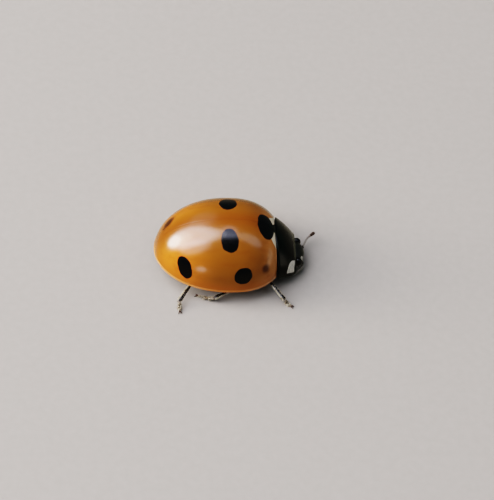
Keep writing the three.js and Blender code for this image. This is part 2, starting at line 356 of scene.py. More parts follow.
def fold(tree, place):
    """The axes of a place, how far it is from the middle, and the place folded to the left side."""
    axes = add_node(tree, "SeparateXYZ", {0: place}).outputs
    off_middle = add_node(tree, "Math", {0: axes[1]}, operation="ABSOLUTE").outputs[0]
    folded = add_node(tree, "CombineXYZ", {0: axes[0], 1: off_middle, 2: axes[2]}).outputs[0]
    return axes, off_middle, folded


def within(tree, place, centre, size, softness, lie=(0, 0, 0), most=1.0):
    """Most inside an ellipsoid and 0 outside it."""
    own_frame = {"Vector": place, "Location": centre, "Rotation": lie, "Scale": size}
    local = add_node(tree, "Mapping", own_frame, vector_type="TEXTURE").outputs[0]
    reach = add_node(tree, "VectorMath", {0: local}, operation="LENGTH").outputs["Value"]
    return ease(reach, 1 + softness, 1 - softness, most)


def spot_mask(tree, place, marking, softness, most=1.0):
    x, y, half_length, half_width, turn_degrees = marking
    step = 0.01
    slope_x = (dome_height(x + step, y) - dome_height(x - step, y)) / (2 * step)
    slope_y = (dome_height(x, y + step) - dome_height(x, y - step)) / (2 * step)
    normal = Vector((-slope_x, -slope_y, 1)).normalized()
    along = Vector((0, 1, 0)).cross(normal).normalized()
    lie = Matrix((along, normal.cross(along), normal)).transposed()
    lie = lie @ Matrix.Rotation(math.radians(turn_degrees), 3, "Z")
    centre = Vector((x, y, RIM_HEIGHT + dome_height(x, y)))
    size = (half_length, half_width, SPOT_DEPTH)
    return within(tree, place, centre, size, softness, lie.to_euler(), most)


print("markings:", 2 * len(PAIRED_SPOTS) + len(SINGLE_SPOTS), "spots")

# %% Waxed orange cuticle with black spots
ORANGE = {
    "body": "#945F21", "front": "#9A642A", "margin": "#CA8A4C", "rear": "#CF782A", "seam": "#8C5018",
    "painted_light_skirt": "#C27229", "rim": "#D89E6C",
}
SPOT_BLACK = "#060506"
CREAM = "#E9DCC0"
DARK_PATCH_BROWN = {"shoulder": "#52260A", "rear": "#2A1408"}
# The cream triangle lies ahead of a slanting line, from an inner to an outer point (x, y).
CREAM_INNER = (2.02, 0.69)
CREAM_OUTER = (2.32, 1.03)
CREAM_LEFT = 0.1
WANDER_SIZE = 0.5
PAIRED_WANDER = 0.14
SINGLE_WANDER = 0.13


def orange_colour(tree, place, axes, off_seam):
    edge = add_node(tree, "Attribute", attribute_name="edge").outputs["Fac"]
    # Painted light: the case is lighter and yellower low at the rear, standing in for the lamps' light
    # falling there.
    painted_light_low_rear = ease(axes[0], -0.6, -3.1, ease(off_seam, 0.0, 1.4))
    colour = blend(painted_light_low_rear, ORANGE["body"], ORANGE["rear"])
    colour = blend(ease(axes[0], 0.4, 2.2), colour, ORANGE["front"])
    front_margin = ease(edge, 1.2, 0.15, ease(axes[0], 1.0, 1.9, 0.85))
    colour = blend(front_margin, colour, ORANGE["margin"])
    colour = blend(ease(off_seam, 0.8, 0.05, 0.75), colour, ORANGE["seam"])
    # The colour runs in faint streaks from front to back.
    drawn_out = add_node(tree, "Mapping", {"Vector": place, "Scale": (0.35, 1.0, 1.0)}).outputs[0]
    streaks = ease(grain(drawn_out, 0.32, 4.0), 0.35, 1.25)
    colour = blend(streaks, colour, ORANGE["seam"])
    # Painted light: the low band is lighter, to make up for the shade that falls on it.
    painted_light_skirt = ease(axes[2], RIM_HEIGHT + 0.9, RIM_HEIGHT, 0.8)
    colour = blend(painted_light_skirt, colour, ORANGE["painted_light_skirt"])
    # The pale edge, partly the thin plate's own colour and partly a painted highlight along the rim, is
    # strongest at the two ends of the case.
    ends = {0: ease(axes[0], 0.3, 1.6), 1: ease(axes[0], -1.6, -3.2, 0.7)}
    to_ends = add_node(tree, "Math", ends, operation="MAXIMUM").outputs[0]
    strength = add_node(tree, "Math", {0: to_ends, 1: 0.45, 2: 0.3}, operation="MULTIPLY_ADD").outputs[0]
    return blend(ease(edge, 0.11, 0.02, strength), colour, ORANGE["rim"])


def cream_mask(tree, loose, axes, off_seam):
    slope = (CREAM_OUTER[0] - CREAM_INNER[0]) / (CREAM_OUTER[1] - CREAM_INNER[1])
    start = CREAM_INNER[0] - slope * CREAM_INNER[1]
    across_line = {0: loose, 1: (1, -slope, 0)}
    ahead = add_node(tree, "VectorMath", across_line, operation="DOT_PRODUCT").outputs["Value"]
    on_left = add_node(tree, "Math", {0: axes[1], 1: 0.0}, operation="GREATER_THAN").outputs[0]
    shifted = {0: on_left, 1: -CREAM_LEFT, 2: ahead}
    ahead = add_node(tree, "Math", shifted, operation="MULTIPLY_ADD").outputs[0]
    return ease(ahead, start - 0.02, start + 0.04, ease(off_seam, 0.15, 0.2))


def wing_case_finish():
    material, tree, place = start_finish("waxed_orange_cuticle")
    axes, off_seam, folded = fold(tree, place)
    # Pigment creeps through the plate unevenly, so the outline of each spot wanders.
    noise = {"Vector": place, "Scale": 1 / WANDER_SIZE, "Detail": 1.0}
    clouds = add_node(tree, "TexNoise", noise).outputs[1]
    wander = add_node(tree, "VectorMath", {0: clouds, 1: (0.5, 0.5, 0.5)}, operation="SUBTRACT").outputs[0]
    loosened = []
    for by, where in ((PAIRED_WANDER, folded), (SINGLE_WANDER, place)):
        moved = {0: wander, 1: (by, by, by), 2: where}
        loosened.append(add_node(tree, "VectorMath", moved, operation="MULTIPLY_ADD").outputs[0])
    loose, loose_here = loosened

    colour = orange_colour(tree, place, axes, off_seam)
    colour = blend(cream_mask(tree, loose, axes, off_seam), colour, CREAM)
    # Two dark brown patches, one on each case and not mirrored, darken the orange.
    for patch_name, marking in DARK_PATCHES.items():
        dark_patch = spot_mask(tree, loose_here, marking, 0.6, most=0.88)
        colour = blend(dark_patch, colour, DARK_PATCH_BROWN[patch_name])
    black = 0.0
    for where, markings in ((loose, PAIRED_SPOTS), (loose_here, SINGLE_SPOTS)):
        for marking in markings.values():
            either = {0: black, 1: spot_mask(tree, where, marking, 0.06)}
            black = add_node(tree, "Math", either, operation="MAXIMUM").outputs[0]
    colour = blend(black, colour, SPOT_BLACK)

    # The plate swells a little, and is set with shallow pits under a tenth of a millimetre apart.
    pits = pitted(place, 0.085, (0.1, 0.34), 0.6, randomness=0.8)
    swells = {0: grain(place, 0.7, 1.0), 1: 4.0, 2: pits}
    relief = add_node(tree, "Math", swells, operation="MULTIPLY_ADD").outputs[0]
    rough = (grain(place, 0.25, 3.0), 0.1, 0.16)
    finish_cuticle(tree, colour, rough, relief, depth=0.0035, wax=1.0, wax_roughness=0.11)
    return material


wing_case_material = wing_case_finish()
print("nodes in the wing cases' finish:", len(wing_case_material.node_tree.nodes))

# %% [markdown]
# ## The wing cases
# Each case is a quarter of the dome, made of a grid whose four sides become the seam, the rim,
# the front edge and the tip. The rim is extruded into a bead and a shelf that tucks in below the
# body; then the plate gets its thickness and its edges are rounded.

# %% Making a plate of a sheet
SHARP = math.radians(60)


def into_plate(bm, thickness, rounding, segments=3):
    """Turns a sheet's faces up, gives it a thickness below them, and rounds its sharp edges."""
    bmesh.ops.recalc_face_normals(bm, faces=bm.faces[:])
    bm.normal_update()
    if sum(face.normal.z * face.calc_area() for face in bm.faces) < 0:
        bmesh.ops.reverse_faces(bm, faces=bm.faces[:])
    bmesh.ops.solidify(bm, geom=bm.faces[:], thickness=thickness)
    bm.normal_update()
    sharp = [e for e in bm.edges if len(e.link_faces) == 2 and e.calc_face_angle(0) > SHARP]
    bmesh.ops.bevel(bm, geom=sharp, offset=rounding, offset_type="OFFSET", segments=segments, profile=0.5,
                    affect="EDGES", clamp_overlap=True, material=-1)


# %% Shape of a wing case
WING_BASE = 2.25
WING_BASE_SAG = 0.07
SEAM_GAP = 0.004
RIM_LIFT = math.radians(1.6)
SCUTELLUM_TIP = 1.86
SCUTELLUM_SLOPE = 0.24 / 0.36
# The rim's section in steps of (outwards, up); the last step, None, is the width of the shelf.
RIM_STEPS = [(0.02, -0.018), (0.014, -0.027), (-0.008, -0.025), (-0.041, -0.01), (None, 0.05)]
SHELF_WIDTH = 0.42
SHELF_TAPER = 4.0
SHELF_AT_TIP = 0.35


def base_angle(around):
    """How far round the egg, from its front end, the front edge lies on one meridian."""
    x = WING_BASE
    for _ in range(8):
        angle = math.acos((x / DOME["front"]) ** (DOME["front_power"] / 2))
        y = DOME["half_width"] * math.sin(angle) * math.cos(around)
        x = WING_BASE + WING_BASE_SAG * y * y
    return angle


def plan_outward(point):
    end = "front" if point.x > 0 else "back"
    power = DOME[end + "_power"]
    along = power * abs(point.x) ** (power - 1) / DOME[end] ** power
    across = 2 * point.y / DOME["half_width"] ** 2
    return Vector((math.copysign(along, point.x), across, 0)).normalized()


def shelf_width(x):
    """The shelf narrows towards the tip."""
    from_tip = min(max((x + DOME["back"]) / SHELF_TAPER, 0), 1)
    return SHELF_WIDTH * (SHELF_AT_TIP + (1 - SHELF_AT_TIP) * from_tip)


def wing_case_mesh(side, steps_along=104, steps_around=56):
    bm = bmesh.new()
    edge = bm.verts.layers.float.new("edge")
    bmesh.ops.create_grid(bm, x_segments=steps_along, y_segments=steps_around, size=0.5)
    rim = []
    for vert in bm.verts:
        along, across = vert.co.x + 0.5, vert.co.y + 0.5
        around = math.pi / 2 + (RIM_LIFT - math.pi / 2) * across
        start = base_angle(around)
        angle = start + (math.pi - start) * along
        unit = (math.cos(angle), math.sin(angle) * math.cos(around), math.sin(angle) * math.sin(around))
        vert.co = egg_point(DOME, unit) + TOP
        vert.co.y = max(vert.co.y, SEAM_GAP)
        to_rim = (around - RIM_LIFT) * DOME["half_width"] * math.sin(angle)
        to_base = (angle - start) * DOME["front"] * 0.8
        vert[edge] = min(to_rim, to_base)
        if across > 0.9999:
            rim.append(vert)
    edges = between(bm.edges, rim)
    for outwards, up in RIM_STEPS:
        verts, edges = grow_edges(bm, edges)
        for vert in verts:
            vert[edge] = 0.3 if outwards is None else 0.0
            step = -shelf_width(vert.co.x) if outwards is None else outwards
            vert.co += plan_outward(vert.co) * step + UP * up
            vert.co.y = max(vert.co.y, SEAM_GAP)
    bmesh.ops.bisect_plane(
        bm, geom=bm.verts[:] + bm.edges[:] + bm.faces[:], plane_co=(SCUTELLUM_TIP, 0, 0),
        plane_no=(SCUTELLUM_SLOPE, -1, 0), clear_outer=True)
    bmesh.ops.remove_doubles(bm, verts=bm.verts[:], dist=1e-4)
    into_plate(bm, thickness=0.11, rounding=0.016)
    bmesh.ops.scale(bm, vec=(1, side, 1), verts=bm.verts[:])
    return bm


for side_name, side in SIDES.items():
    finish_piece(wing_case_mesh(side), f"wing_case_{side_name}", wing_case_material,
                 [f"elytron_{side_name}"])

# %% [markdown]
# ## Black cuticle
# The pronotum, head and scutellum are black with melanin, with a faint green-grey cast that is a
# painted sheen, and a fine net of scales softens their gloss. Off-white patches lack melanin. The
# pronotum's patch is what lies inside every side of a polygon in the plate's own two directions, kept as
# attributes.

# %% Black cuticle, with off-white patches on the pronotum
# The second colour of each black is a painted green-grey sheen.
BLACK = ("#050805", "#0F1E15")
# The head's black is painted a lighter grey, a painted sheen of the light on it.
HEAD_GREY_PAINTED_SHEEN = ("#2B2C25", "#43453A")
BORDER_BROWN = "#5A5A4A"
# Corners of the patch: (along from the back edge, around from the lower edge), in millimetres.
PATCH = [(0.56, 0.19), (1.19, 0.35), (1.24, 1.22), (0.95, 1.09), (0.74, 0.84)]
PATCH_ROUNDING = 0.08
PATCH_SOFTNESS = 0.05
PATCH_WANDER = 0.12


def netted(tree, place, pits, size, strength):
    """Adds a net of fine lines, size millimetres wide, to the relief of pits."""
    cells = {"Vector": place, "Scale": 1 / size}
    lines = add_node(tree, "TexVoronoi", cells, feature="DISTANCE_TO_EDGE").outputs["Distance"]
    both = {0: pits, 1: ease(lines, 0.0, 0.12, strength)}
    return add_node(tree, "Math", both, operation="ADD").outputs[0]


def black_ground(place, deep, painted_sheen):
    return blend(ease(grain(place, 0.35, 3.0), 0.4, 0.75), deep, painted_sheen)


def off_white(place):
    return blend(ease(grain(place, 0.15), 0.35, 0.8), "#E6E1D4", "#CBC6B8")


def patch_mask(tree, place, along, around):
    on_plate = add_node(tree, "CombineXYZ", {0: along, 1: around, 2: 1.0}).outputs[0]
    # It starts far from every side, so that the nearest one decides.
    inside = 9.0
    for (x0, y0), (x1, y1) in zip(PATCH, PATCH[1:] + PATCH[:1]):
        lean = Vector((y0 - y1, x1 - x0)).normalized()
        side = {0: on_plate, 1: (lean.x, lean.y, -lean.x * x0 - lean.y * y0)}
        depth = add_node(tree, "VectorMath", side, operation="DOT_PRODUCT").outputs["Value"]
        both = {0: inside, 1: depth, 2: PATCH_ROUNDING}
        inside = add_node(tree, "Math", both, operation="SMOOTH_MIN").outputs[0]
    loose = {0: grain(place, 0.3, 1.0), 1: PATCH_WANDER, 2: inside}
    inside = add_node(tree, "Math", loose, operation="MULTIPLY_ADD").outputs[0]
    return ease(inside, PATCH_WANDER / 2, PATCH_WANDER / 2 + PATCH_SOFTNESS)


def pronotum_finish():
    material, tree, place = start_finish("black_cuticle_with_white_corners")
    along = add_node(tree, "Attribute", attribute_name="along").outputs["Fac"]
    around = add_node(tree, "Attribute", attribute_name="around").outputs["Fac"]
    # The front border is thin enough to let a little brown through.
    border = ease(along, 1.13, 1.21, ease(around, 1.1, 1.5))
    colour = blend(border, black_ground(place, *BLACK), BORDER_BROWN)
    colour = blend(patch_mask(tree, place, along, around), colour, off_white(place))
    pits = pitted(place, 0.07, (0.08, 0.3), randomness=0.9)
    relief = netted(tree, place, pits, size=0.05, strength=0.4)
    rough = (grain(place, 0.2, 3.0), 0.12, 0.15)
    finish_cuticle(tree, colour, rough, relief, depth=0.0018, wax=0.3)
    return material


pronotum_material = pronotum_finish()
print("corners of the patch:", len(PATCH))

# %% [markdown]
# ## The pronotum
# The shield behind the head is an arch that narrows and slopes down to the front, made from a
# grid, with a narrow raised border, and lower edges that fold in below.

# %% Shape of the pronotum
SHIELD_BACK = {"x": WING_BASE + 0.05, "sweep": 0.22, "half_width": 1.75, "base": 0.91, "top": 2.65}
SHIELD_FRONT = {"x": 3.48, "sweep": 0.02, "half_width": 1.25, "base": 0.5, "top": 1.4}
SHIELD_BULGE = {"half_width": 0.05, "top": 0.4}
SHIELD_LENGTH = 1.3
SHIELD_RADIUS = 1.4
# Forms along the edge: (height, distance from the edge, width).
SHIELD_EDGE = [(0.022, 0.03, 0.035), (-0.012, 0.11, 0.03)]
BACK_ROLL = -0.05
BACK_ROLL_WIDTH = 0.12
CORNER_REACH = 0.2
CORNER_ROUNDING = 0.12
# The lower edge folds in by steps of (inwards, up).
FOLD_STEPS = [(0.03, -0.03), (0.1, -0.01), (0.22, 0.03), (0.25, 0.05), (0.25, 0.08)]


def shield_point(share, angle, grow):
    def mix(key):
        bulge = SHIELD_BULGE.get(key, 0)
        t = (1 - bulge) * share + bulge * share * share
        return SHIELD_BACK[key] + (SHIELD_FRONT[key] - SHIELD_BACK[key]) * t
    across, high = math.cos(angle), math.sin(angle)
    z = mix("base") + (mix("top") - mix("base") + grow) * high
    return Vector((mix("x") + mix("sweep") * across * across, (mix("half_width") + grow) * across, z))


def shield_mesh(steps_along=44, steps_around=96):
    bm = bmesh.new()
    along_layer = bm.verts.layers.float.new("along")
    around_layer = bm.verts.layers.float.new("around")
    bmesh.ops.create_grid(bm, x_segments=steps_along, y_segments=steps_around, size=0.5)
    low_edge = []
    for vert in bm.verts:
        share, angle = vert.co.x + 0.5, math.pi * (vert.co.y + 0.5)
        from_side = min(angle, math.pi - angle) * SHIELD_RADIUS
        from_edge = min(from_side, (1 - share) * SHIELD_LENGTH)
        grow = sum(height * bell(from_edge, middle, width) for height, middle, width in SHIELD_EDGE)
        grow += BACK_ROLL * max(0.0, 1 - share * SHIELD_LENGTH / BACK_ROLL_WIDTH) ** 2
        corner = CORNER_ROUNDING * bell(from_side, 0, CORNER_REACH) * share ** 8
        vert.co = shield_point(share, angle, grow) + Vector((-corner, 0, corner))
        vert[along_layer] = share * SHIELD_LENGTH
        vert[around_layer] = from_side
        if from_side < 1e-4:
            low_edge.append(vert)
    edges = between(bm.edges, low_edge)
    for inwards, up in FOLD_STEPS:
        verts, edges = grow_edges(bm, edges)
        for vert in verts:
            share = vert[along_layer] / SHIELD_LENGTH
            taper = min(1.0, 8 * share * (1 - share) + 0.25)
            vert.co += Vector((0, -math.copysign(inwards * taper, vert.co.y), up * taper))
            vert[around_layer] = -inwards
    into_plate(bm, thickness=0.1, rounding=0.025)
    return bm


finish_piece(shield_mesh(), "pronotum_shield", pronotum_material, ["pronotum"])

# %% [markdown]
# ## The scutellum
# The small triangle between the wing cases and the pronotum starts as a three-sided disc, is cut
# finer, laid on the dome and given a thickness. The head wears a lighter grey-black, a painted
# sheen of light, with an off-white spot beside each eye.

# %% Plain black cuticle and the scutellum
HEAD_SPOT = (3.848, 0.445, 0.80)
HEAD_SPOT_SIZE = (0.095, 0.125, 0.19)


def black_plate_finish(name, black, with_spots):
    material, tree, place = start_finish(name)
    colour = black_ground(place, *black)
    if with_spots:
        spots = within(tree, fold(tree, place)[2], HEAD_SPOT, HEAD_SPOT_SIZE, 0.1)
        colour = blend(spots, colour, off_white(place))
    pits = pitted(place, 0.06, (0.08, 0.32), randomness=0.9)
    relief = netted(tree, place, pits, size=0.035, strength=0.5)
    rough = (grain(place, 0.12, 3.0), 0.16, 0.32)
    finish_cuticle(tree, colour, rough, relief, depth=0.0022, wax=0.25, wax_roughness=0.22)
    return material


black_material = black_plate_finish("black_cuticle", BLACK, with_spots=False)
head_material = black_plate_finish("black_cuticle_with_white_spots", HEAD_GREY_PAINTED_SHEEN, with_spots=True)


def scutellum_mesh():
    bm = bmesh.new()
    bmesh.ops.create_circle(bm, cap_ends=True, segments=3, radius=1)
    tip, base, half = SCUTELLUM_TIP + 0.02, WING_BASE + 0.05, 0.24
    corners = sorted(bm.verts, key=lambda v: -v.co.y)
    for vert, place in zip(corners, [(base, half, 0), (tip, 0, 0), (base, -half, 0)]):
        vert.co = place
    bmesh.ops.bevel(bm, geom=bm.verts[:], offset=0.04, offset_type="OFFSET", segments=3, profile=0.5,
                    affect="VERTICES", clamp_overlap=True, material=-1)
    bmesh.ops.triangulate(bm, faces=bm.faces[:])
    for _ in range(3):
        bmesh.ops.subdivide_edges(bm, edges=bm.edges[:], cuts=1, use_grid_fill=True)
    for vert in bm.verts:
        vert.co.z = RIM_HEIGHT + dome_height(min(vert.co.x, DOME["front"] - 0.3), vert.co.y) + 0.012
    into_plate(bm, thickness=0.12, rounding=0.012, segments=2)
    return bm


finish_piece(scutellum_mesh(), "scutellum_plate", black_material, ["scutellum"])

# %% [markdown]
# ## The trunk
# Thorax and abdomen are one skin: a breast plate with a groove down its middle, hollows for the
# legs, and six belly plates that overlap like tiles. A ball is drawn out to an egg, and each
# vertex of its lower half is then lowered or raised by those forms.

# %% Shape of the trunk
BELLY_RINGS = [-0.15, -0.95, -1.5, -2.0, -2.45, -2.85]
TRUNK = {**DOME, "front": 2.42, "back": 3.18, "half_width": 2.10, "up": 2.08, "down": 0.25}
HIPS = {"front": Vector((2.4, 0.62)), "middle": Vector((1.42, 0.86)), "hind": Vector((0.1, 1.0))}
TILE_STEP = 0.08
# Forms across the breast: (how far out, middle along the body, width).
BREAST_FORMS = [(0.03, 0.6, 0.5), (-0.07, 1.2, 0.045), (-0.06, -0.1, 0.045)]


def plate_share(x, y):
    """The share of the way from a belly plate's front edge to its rear edge, or 0 on the breast."""
    curved = x + 0.1 * (y / TRUNK["half_width"]) ** 2
    starts = [ring for ring in BELLY_RINGS if curved < ring]
    if not starts:
        return 0.0
    ends = [ring for ring in [*BELLY_RINGS, -TRUNK["back"]] if ring < min(starts)]
    return (min(starts) - curved) / (min(starts) - max(ends)) if ends else 1.0


def belly_lift(x, y):
    """How far the underside stands out (down) from the plain egg at a place in plan."""
    curved = x + 0.1 * (y / TRUNK["half_width"]) ** 2
    from_hips = {name: (Vector((x, abs(y))) - hip).length for name, hip in HIPS.items()}
    if curved < BELLY_RINGS[0]:
        share = plate_share(x, y)
        out = TILE_STEP * (share - 0.6) * min(1, (1 - share) * 10)
        out -= 0.03 * bell(from_hips["hind"], 0.78, 0.035) if x > -1.2 else 0.0
    else:
        out = sum(height * bell(curved, middle, width) for height, middle, width in BREAST_FORMS)
        out -= 0.06 * bell(y, 0, 0.04) * (1 if curved < 1.2 else 0.4)
    return out - sum(0.05 * bell(distance, 0, 0.33, 4) for distance in from_hips.values())


def trunk_mesh():
    bm = bmesh.new()
    plate_layer = bm.verts.layers.float.new("plate")
    for vert in add_ball(bm, around=144, along=190):
        high = vert.co.z
        point = egg_point(TRUNK, vert.co)
        vert[plate_layer] = plate_share(point.x, point.y)
        if high < 0:
            point.z -= belly_lift(point.x, point.y) * min(1, -high * 4)
        point.x = min(point.x, WING_BASE - 0.1)
        vert.co = point + TOP
    return bm


# %% Cuticle in clouds of two colours
def clouded_finish(name, colours, clouds, span, relief, rough, depth, wax, wax_roughness=0.12,
                   bands=(), patches=(), wear=None):
    """Bands are (mesh attribute, start, end, colour), patches (centre, size, softness, colour)."""
    material, tree, place = start_finish(name)
    shade = grain(place, *clouds)
    colour = blend(ease(shade, *span), *colours)
    for attribute, start, end, tint in bands:
        share = add_node(tree, "Attribute", attribute_name=attribute).outputs["Fac"]
        colour = blend(ease(share, start, end), colour, tint)
    for *form, tint in patches:
        colour = blend(within(tree, fold(tree, place)[2], *form), colour, tint)
    worn = grain(place, wear) if wear else shade
    pattern, *sizes = relief
    finish_cuticle(tree, colour, (worn, *rough), pattern(place, *sizes), depth, wax, wax_roughness)
    return material


underside_material = clouded_finish(
    "satin_black_belly_cuticle", ("#0D0B0A", "#2A1D14"), clouds=(0.25, 4.0), span=(0.5, 0.9),
    relief=(pitted, 0.06, (0.1, 0.45)), rough=(0.2, 0.38), depth=0.004, wax=0.1, wax_roughness=0.3,
    bands=[("plate", 0.78, 0.95, "#4A3220")],
    patches=[((1.72, 1.5, 0.86), (0.3, 0.2, 0.12), 0.15, "#CFC6AE")])
finish_piece(trunk_mesh(), "trunk_skin", underside_material, ["thorax", "abdomen"])

# %% [markdown]
# ## The ring in front
# The front legs and the neck come out of a ring that the pronotum roofs over. Its underside is a
# narrow plate with a keel between the front legs.

# %% Shape of the prosternum
PROSTERNUM = {"front": 0.5, "back": 0.42, "half_width": 1.0, "up": 0.5, "down": 0.22,
              "front_power": 3, "back_power": 3}
PROSTERNUM_CENTRE = Vector((2.7, 0, 0.72))
NECK_CORE = {"front": 0.42, "back": 0.5, "half_width": 1.38, "up": 1.05, "down": 0.16,
             "front_power": 2, "back_power": 4}
NECK_CENTRE = Vector((2.75, 0, 0.9))


def prosternum_mesh():
    bm = bmesh.new()
    for vert in add_ball(bm, around=72, along=48):
        high = vert.co.z
        point = egg_point(PROSTERNUM, vert.co)
        if high < 0:
            point.z += 0.012 * bell(point.y, 0, 0.04) - 0.05 * bell(point.y, 0, 0.13, 4)
        vert.co = point + PROSTERNUM_CENTRE
    for vert in add_ball(bm, around=48, along=32):
        vert.co = egg_point(NECK_CORE, vert.co) + NECK_CENTRE
    return bm


finish_piece(prosternum_mesh(), "prosternum_plate", underside_material, ["prosternum"])

# %% [markdown]
# ## The head
# The head is a short capsule that nods down out of the shield, flat between the eyes, with a
# ledge above the mouth and a pit where each feeler goes in. These are pressed into an egg before
# it is tilted.

# %% Shape of the head
HEAD = {"front": 0.66, "back": 0.6, "half_width": 0.68, "up": 0.52, "down": 0.46,
        "front_power": 2.3, "back_power": 2.0}
HEAD_CENTRE = Vector((3.36, 0, 0.74))
HEAD_NOD = 0.35
EYE_CENTRE = Vector((3.62, 0.62, 0.79))
EYE_RADIUS = 0.25
FEELER_PIT = Vector((3.9, 0.36, 0.52))


def head_mesh():
    bm = bmesh.new()
    nod = Matrix.Rotation(HEAD_NOD, 3, "Y")
    for vert in add_ball(bm, around=112, along=96):
        unit = vert.co.copy()
        point = egg_point(HEAD, unit)
        ledge = bell(unit.z, -0.42, 0.16) * bell(unit.y, 0, 0.42, 4)
        dip = bell(unit.z, 0.1, 0.35) * bell(unit.y, 0, 0.4)
        point.x += (0.035 * ledge - 0.02 * dip) * max(0.0, unit.x)
        placed = nod @ point + HEAD_CENTRE
        away = (Vector((placed.x, abs(placed.y), placed.z)) - FEELER_PIT).length
        inwards = (HEAD_CENTRE - placed).normalized()
        placed += inwards * 0.035 * bell(away, 0, 0.09, 4)
        vert.co = placed - inwards * 0.012 * bell(away, 0.13, 0.03)
    return bm


finish_piece(head_mesh(), "head_capsule", head_material, ["head"])

# %% [markdown]
# ## The eyes
# Each compound eye is a dome of six-sided lenses. On a geodesic ball six triangles meet at a
# corner, so every edge is cut in half and the corners are lifted a hair's breadth, one per lens.

# %% Faceted eyes
LENS_RISE = 0.006


def eye_mesh(side):
    bm = bmesh.new()
    bmesh.ops.create_icosphere(bm, subdivisions=5, radius=1)
    lenses = set(bm.verts)
    bmesh.ops.subdivide_edges(bm, edges=bm.edges[:], cuts=1, use_grid_fill=True)
    for vert in bm.verts:
        lift = EYE_RADIUS if vert in lenses else EYE_RADIUS - LENS_RISE
        vert.co = vert.co.normalized() * lift
    bmesh.ops.scale(bm, vec=(1, 0.85, 1.1), verts=bm.verts[:])
    bmesh.ops.translate(bm, vec=(EYE_CENTRE.x, EYE_CENTRE.y * side, EYE_CENTRE.z), verts=bm.verts[:])
    return bm


eye_material = clouded_finish(
    "black_lens_cuticle", ("#050506", "#16110E"), clouds=(0.2,), span=(0.3, 0.8),
    relief=(grain, 0.02), rough=(0.1, 0.14), depth=0.0004, wax=0.5, wax_roughness=0.08, wear=0.06)
for side_name, side in SIDES.items():
    finish_piece(eye_mesh(side), f"compound_eye_{side_name}", eye_material, [f"eye_{side_name}"])

# %% [markdown]
# ## Mouthparts
# A wide upper lip hangs over two curved jaws, with a palp at each side whose last joint is the
# broad hatchet that the family is known by.

# %% Lip, jaws and palps
def horn_finish(name, *colours):
    return clouded_finish(
        name, colours, clouds=(0.12, 3.0), span=(0.35, 0.8), relief=(grain, 0.03, 3.0),
        rough=(0.2, 0.3), depth=0.0025, wax=0.3, wax_roughness=0.2)


def lip_mesh():
    bm = bmesh.new()
    start, end = Vector((3.80, 0, 0.50)), Vector((3.90, 0, 0.27))
    keys = [(0, 0.24), (0.4, 0.27), (0.8, 0.24), (1, 0.2)]
    add_limb(bm, start, end, keys, sides=32, up=Vector((1, 0, 0)), flat=0.3, rings=16, blunt=0.25)
    for vert in bm.verts:
        notch = bell(vert.co.y, 0, 0.06) * max(0.0, (0.34 - vert.co.z) / 0.07)
        vert.co.z += 0.03 * min(notch, 1)
    return bm


def jaw_mesh(side):
    bm = bmesh.new()
    start, end = Vector((3.5, 0.24 * side, 0.36)), Vector((3.8, 0.03 * side, 0.2))
    bow = Vector((0.03, 0.08 * side, -0.02))
    add_limb(bm, start, end, [(0, 0.1), (0.35, 0.11), (0.8, 0.06), (1, 0.03)], flat=0.65, bow=bow, rings=14)
    tooth = start.lerp(end, 0.7) + bow * 0.6
    add_limb(bm, tooth, Vector((3.76, 0.0, 0.18)), [(0, 0.04), (1, 0.012)], sides=8, rings=6)
    return bm


def palp_mesh(side):
    bm = bmesh.new()
    places = [(3.38, 0.30, 0.42), (3.46, 0.35, 0.34), (3.58, 0.41, 0.27), (3.66, 0.42, 0.24)]
    joints = [Vector((x, y * side, z)) for x, y, z in places]
    widths = [(0.05, 0.06), (0.055, 0.07), (0.05, 0.065)]
    for start, end, (thin, wide) in zip(joints, joints[1:], widths):
        add_limb(bm, start, end, [(0, thin), (0.8, wide), (1, thin)], sides=12, rings=10)
    hatchet = [(0, 0.06), (0.75, 0.14), (1, 0.13)]
    start, end = joints[-1] - Vector((0.02, 0, 0)), joints[-1] + Vector((0.11, -0.01 * side, -0.05))
    add_limb(bm, start, end, hatchet, sides=16, up=Vector((0, 0.3, 1)), flat=0.5, blunt=0.35)
    return bm


jaw_material = horn_finish("brown_jaw_horn", "#150C07", "#35200F")
finish_piece(lip_mesh(), "upper_lip", black_material, ["labrum"])
for side_name, side in SIDES.items():
    finish_piece(jaw_mesh(side), f"jaw_{side_name}", jaw_material, [f"mandible_{side_name}"])
    finish_piece(palp_mesh(side), f"palp_joints_{side_name}", jaw_material, [f"palp_{side_name}"])

# %% [markdown]
# ## The feelers
# A feeler has eleven joints along a bent path: a thick one, a small one, six beads and a club of
# three. Each ring keeps its share of the way in an attribute, which the finish turns to a colour.

# %% Brown feelers with a dark club
FEELER_PATHS = {
    "left": [(3.88, 0.35, 0.52), (4.04, 0.6, 0.57), (4.26, 1.02, 0.64), (4.65, 1.32, 0.69)],
    "right": [(3.86, -0.35, 0.5), (3.93, -0.70, 0.42), (3.62, -0.93, 0.34), (3.24, -1.08, 0.3)],
}
# (share of the length, half thickness at the near end, half thickness at the far end)
FEELER_JOINTS = [(0.17, 0.085, 0.095), (0.075, 0.06, 0.066), (0.12, 0.053, 0.059)]
FEELER_JOINTS += [(0.062, 0.053, 0.057)] * 5
FEELER_JOINTS += [(0.11, 0.05, 0.07), (0.11, 0.068, 0.088), (0.13, 0.086, 0.07)]


def walk(path, distance):
    """The point at a distance along a path of straight runs."""
    for start, end in zip(path, path[1:]):
        run = (end - start).length
        if distance <= run:
            return start.lerp(end, distance / run)
        distance -= run
    return path[-1].copy()


